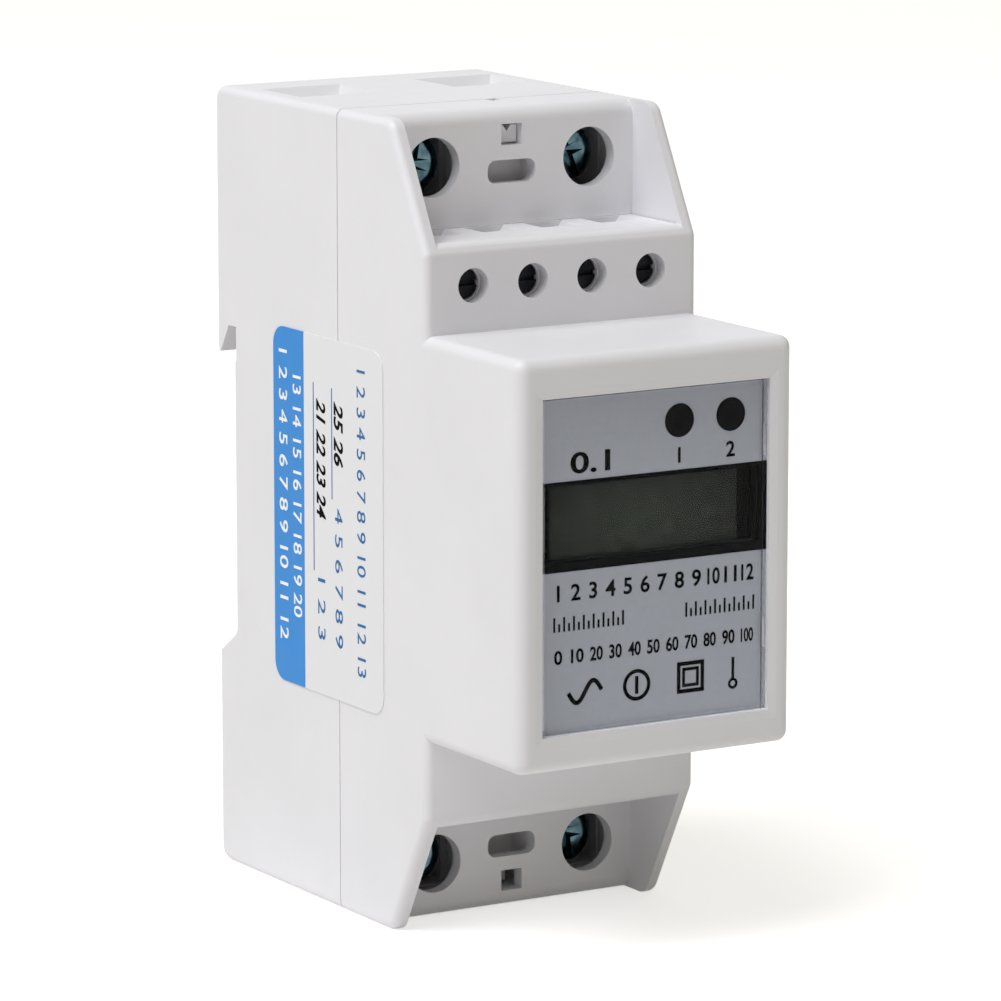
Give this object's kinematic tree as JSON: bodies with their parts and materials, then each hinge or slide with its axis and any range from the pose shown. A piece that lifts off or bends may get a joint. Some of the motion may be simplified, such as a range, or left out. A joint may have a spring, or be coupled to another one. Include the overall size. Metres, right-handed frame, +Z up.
{
  "type": "din rail energy meter",
  "caption": "Slim rail-mounted energy meter with a display window in its raised nose, rising-cage terminals at top and bottom, and a sprung foot that clips to a top-hat rail.",
  "frame": {"origin": "centre of the seat that rests on the rail, at mid width and on the rail's centre line", "axes": "+Y points from the seat towards the rail and the wall, +Z up the meter, +X across it"},
  "size_m": [0.0351, 0.0677, 0.091],
  "materials": {
    "housing_plastic": "fine matt off-white moulding",
    "window_clear": "clear polished moulding",
    "label_grey": "grey printed film",
    "black_plastic": "black moulding",
    "display_glass": "dark grey-green, blank",
    "contact_rubber": "striped silicone",
    "lamp_red": "red epoxy",
    "circuit_board": "green solder mask",
    "zinc_steel": "bright zinc plate",
    "dark_screw": "dark blue-green passivated",
    "black_screw": "black oxide",
    "capacitor_yellow": "yellow box",
    "can_aluminium": "satin can",
    "disc_ceramic": "blue coated disc",
    "chip_black": "black package",
    "bright_steel": "bright steel",
    "tinned_copper": "tinned copper",
    "shunt_alloy": "resistance alloy",
    "clip_plastic": "dark nylon",
    "sticker_paper": "white and blue coated paper"
  },
  "bodies": {
    "housing": {"aux_pins": "tinned_copper", "aux_terminal_block": "housing_plastic", "base_housing": "housing_plastic", "board_link": "black_plastic", "clip_spring": "bright_steel", "crystal": "bright_steel", "display_board": "circuit_board", "display_frame": "black_plastic", "display_screws": "zinc_steel", "face_label": "label_grey", "film_capacitor": "capacitor_yellow", "front_cover": "housing_plastic", "lcd_panel": "display_glass", "line_bar_lower": "tinned_copper", "line_bar_upper": "tinned_copper", "main_board": "circuit_board", "metering_chip": "chip_black", "neutral_bar": "tinned_copper", "optocouplers": "chip_black", "power_led": "lamp_red", "pulse_led": "lamp_red", "sense_pins": "tinned_copper", "shunt_strip": "shunt_alloy", "side_label": "sticker_paper", "smoothing_capacitor": "can_aluminium", "varistor": "disc_ceramic", "window": "window_clear", "zebra_strip_lower": "contact_rubber", "zebra_strip_upper": "contact_rubber"},
    "clamp_screw_1": {"terminal_screw_1": "dark_screw"},
    "clamp_cage_1": {"terminal_cage_1": "zinc_steel"},
    "clamp_screw_2": {"terminal_screw_2": "dark_screw"},
    "clamp_cage_2": {"terminal_cage_2": "zinc_steel"},
    "clamp_screw_3": {"terminal_screw_3": "dark_screw"},
    "clamp_cage_3": {"terminal_cage_3": "zinc_steel"},
    "clamp_screw_4": {"terminal_screw_4": "dark_screw"},
    "clamp_cage_4": {"terminal_cage_4": "zinc_steel"},
    "small_screw_1": {"aux_screw_1": "black_screw"},
    "small_cage_1": {"aux_cage_1": "zinc_steel"},
    "small_screw_2": {"aux_screw_2": "black_screw"},
    "small_cage_2": {"aux_cage_2": "zinc_steel"},
    "small_screw_3": {"aux_screw_3": "black_screw"},
    "small_cage_3": {"aux_cage_3": "zinc_steel"},
    "small_screw_4": {"aux_screw_4": "black_screw"},
    "small_cage_4": {"aux_cage_4": "zinc_steel"},
    "rail_foot": {"rail_clip": "clip_plastic"}
  },
  "joints": [
    {"name": "screw_1_turn", "type": "hinge", "parent": "housing", "child": "clamp_screw_1", "pos_m": [-0.01005, -0.027, 0.0394], "axis": [0, 1, 0], "range_deg": [0, 2700]},
    {"name": "cage_1_rise", "type": "slide", "parent": "housing", "child": "clamp_cage_1", "axis": [0, -1, 0], "range_m": [0, 0.006]},
    {"name": "screw_2_turn", "type": "hinge", "parent": "housing", "child": "clamp_screw_2", "pos_m": [0.01005, -0.027, 0.0394], "axis": [0, 1, 0], "range_deg": [0, 2700]},
    {"name": "cage_2_rise", "type": "slide", "parent": "housing", "child": "clamp_cage_2", "axis": [0, -1, 0], "range_m": [0, 0.006]},
    {"name": "screw_3_turn", "type": "hinge", "parent": "housing", "child": "clamp_screw_3", "pos_m": [-0.01005, -0.027, -0.0394], "axis": [0, 1, 0], "range_deg": [0, 2700]},
    {"name": "cage_3_rise", "type": "slide", "parent": "housing", "child": "clamp_cage_3", "axis": [0, -1, 0], "range_m": [0, 0.006]},
    {"name": "screw_4_turn", "type": "hinge", "parent": "housing", "child": "clamp_screw_4", "pos_m": [0.01005, -0.027, -0.0394], "axis": [0, 1, 0], "range_deg": [0, 2700]},
    {"name": "cage_4_rise", "type": "slide", "parent": "housing", "child": "clamp_cage_4", "axis": [0, -1, 0], "range_m": [0, 0.006]},
    {"name": "small_screw_1_turn", "type": "hinge", "parent": "housing", "child": "small_screw_1", "pos_m": [-0.0114, -0.04, 0.02777], "axis": [0, 1, 0], "range_deg": [0, 1600]},
    {"name": "small_cage_1_rise", "type": "slide", "parent": "housing", "child": "small_cage_1", "axis": [0, -1, 0], "range_m": [0, 0.002]},
    {"name": "small_screw_2_turn", "type": "hinge", "parent": "housing", "child": "small_screw_2", "pos_m": [-0.0038, -0.04, 0.02777], "axis": [0, 1, 0], "range_deg": [0, 1600]},
    {"name": "small_cage_2_rise", "type": "slide", "parent": "housing", "child": "small_cage_2", "axis": [0, -1, 0], "range_m": [0, 0.002]},
    {"name": "small_screw_3_turn", "type": "hinge", "parent": "housing", "child": "small_screw_3", "pos_m": [0.0038, -0.04, 0.02777], "axis": [0, 1, 0], "range_deg": [0, 1600]},
    {"name": "small_cage_3_rise", "type": "slide", "parent": "housing", "child": "small_cage_3", "axis": [0, -1, 0], "range_m": [0, 0.002]},
    {"name": "small_screw_4_turn", "type": "hinge", "parent": "housing", "child": "small_screw_4", "pos_m": [0.0114, -0.04, 0.02777], "axis": [0, 1, 0], "range_deg": [0, 1600]},
    {"name": "small_cage_4_rise", "type": "slide", "parent": "housing", "child": "small_cage_4", "axis": [0, -1, 0], "range_m": [0, 0.002]},
    {"name": "rail_clip_slide", "type": "slide", "parent": "housing", "child": "rail_foot", "axis": [0, 0, -1], "range_m": [0, 0.004], "stiffness_N_per_m": 1200, "springref_m": -0.002, "deforming": ["clip_spring"]}
  ],
  "couplings": [
    {"joint": "screw_1_turn", "follows": "cage_1_rise", "rad_per_m": 7853.9},
    {"joint": "screw_2_turn", "follows": "cage_2_rise", "rad_per_m": 7853.9},
    {"joint": "screw_3_turn", "follows": "cage_3_rise", "rad_per_m": 7853.9},
    {"joint": "screw_4_turn", "follows": "cage_4_rise", "rad_per_m": 7853.9},
    {"joint": "small_screw_1_turn", "follows": "small_cage_1_rise", "rad_per_m": 13963},
    {"joint": "small_screw_2_turn", "follows": "small_cage_2_rise", "rad_per_m": 13963},
    {"joint": "small_screw_3_turn", "follows": "small_cage_3_rise", "rad_per_m": 13963},
    {"joint": "small_screw_4_turn", "follows": "small_cage_4_rise", "rad_per_m": 13963}
  ]
}
